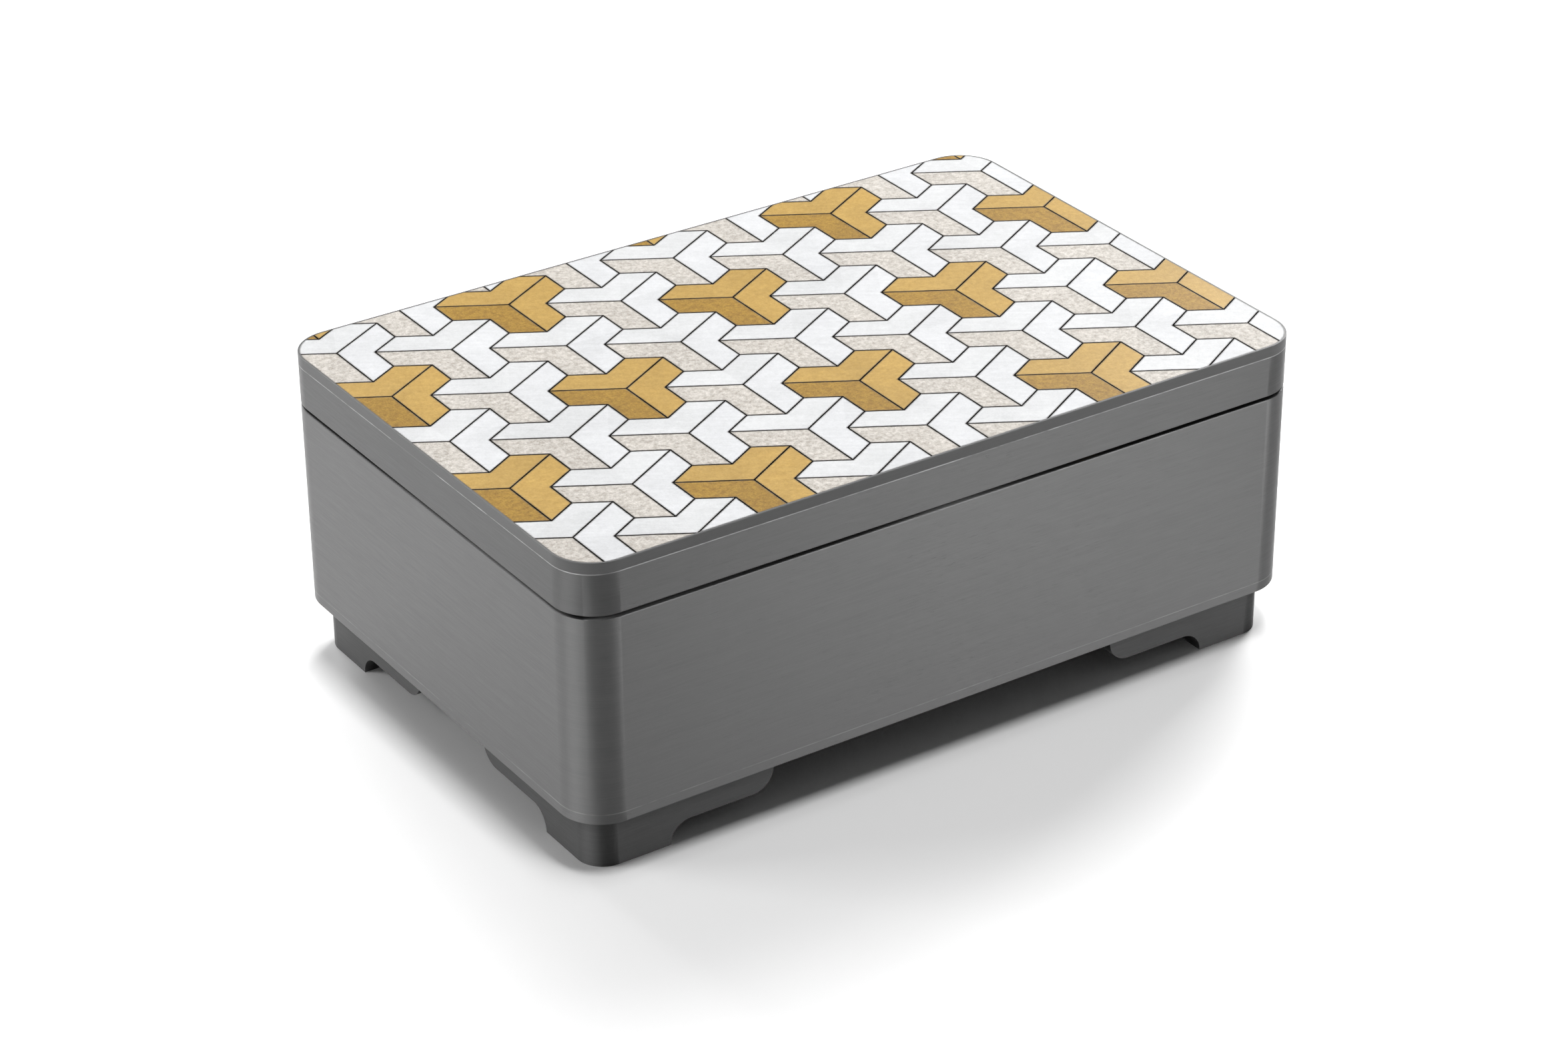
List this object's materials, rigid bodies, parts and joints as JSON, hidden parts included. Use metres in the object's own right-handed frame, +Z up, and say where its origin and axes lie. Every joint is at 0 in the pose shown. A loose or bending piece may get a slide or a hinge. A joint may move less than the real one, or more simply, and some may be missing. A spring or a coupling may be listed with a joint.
{
  "type": "inlaid trick box",
  "caption": "Rectangular grey hardwood trick box on bracket feet, with a hinged lid inlaid with white, sand and gold three-armed tiles and a hidden sliding lock.",
  "frame": {"origin": "centre of the box's outline on the ground, between the four feet", "axes": "+X along the long side towards the right end, +Y towards the hinged back, +Z up; the front faces -Y"},
  "size_m": [0.15, 0.1017, 0.0596],
  "materials": {
    "grey_wood": "dyed grey, fine straight grain, satin lacquer",
    "pale_wood": "pale close-grained hardwood, oiled",
    "line_veneer": "thin pale veneer line, satin",
    "white_veneer": "bleached white veneer, satin",
    "cool_white_veneer": "bleached cool white veneer, satin",
    "sand_veneer": "speckled sand-grey veneer, satin",
    "light_gold_veneer": "light gold veneer, satin",
    "mid_gold_veneer": "gold veneer with fine parallel grain, satin",
    "dark_gold_veneer": "dark ochre gold veneer, satin",
    "brass": "brushed brass",
    "screw_brass": "turned brass"
  },
  "bodies": {
    "case": {"front_wall": "grey_wood", "back_wall": "grey_wood", "left_wall": "grey_wood", "right_wall": "grey_wood", "wall_splines": "pale_wood", "base_panel": "grey_wood", "base_line": "line_veneer", "foot_front_left": "grey_wood", "foot_front_right": "grey_wood", "foot_back_left": "grey_wood", "foot_back_right": "grey_wood", "foot_dowels": "pale_wood", "floor_bearer_left": "pale_wood", "floor_bearer_right": "pale_wood", "floor_panel": "pale_wood", "liner_front": "pale_wood", "liner_back": "pale_wood", "liner_left": "pale_wood", "liner_right": "pale_wood", "left_hinge_body_leaf": "brass", "right_hinge_body_leaf": "brass", "left_hinge_pin": "brass", "right_hinge_pin": "brass", "body_hinge_screws": "screw_brass"},
    "lid": {"lid_front_rail": "grey_wood", "lid_back_rail": "grey_wood", "lid_left_rail": "grey_wood", "lid_right_rail": "grey_wood", "lid_splines": "pale_wood", "lid_line": "line_veneer", "lid_panel": "grey_wood", "lid_board": "pale_wood", "tiles_white_back": "white_veneer", "tiles_white_side": "cool_white_veneer", "tiles_sand": "sand_veneer", "tiles_gold_light": "light_gold_veneer", "tiles_gold_mid": "mid_gold_veneer", "tiles_gold_dark": "dark_gold_veneer", "left_hinge_lid_leaf": "brass", "right_hinge_lid_leaf": "brass", "lid_hinge_screws": "screw_brass", "strike_plate_left": "brass", "strike_plate_right": "brass", "strike_screws": "screw_brass"},
    "lock": {"key_slide": "grey_wood", "lock_bar": "brass", "key_screws": "screw_brass"}
  },
  "joints": [
    {"name": "lid_hinge", "type": "hinge", "parent": "case", "child": "lid", "pos_m": [0, 0.05035, 0.0495], "axis": [-1, 0, 0], "range_deg": [0, 100]},
    {"name": "lock_slide", "type": "slide", "parent": "case", "child": "lock", "axis": [1, 0, 0], "range_m": [0, 0.005]}
  ]
}
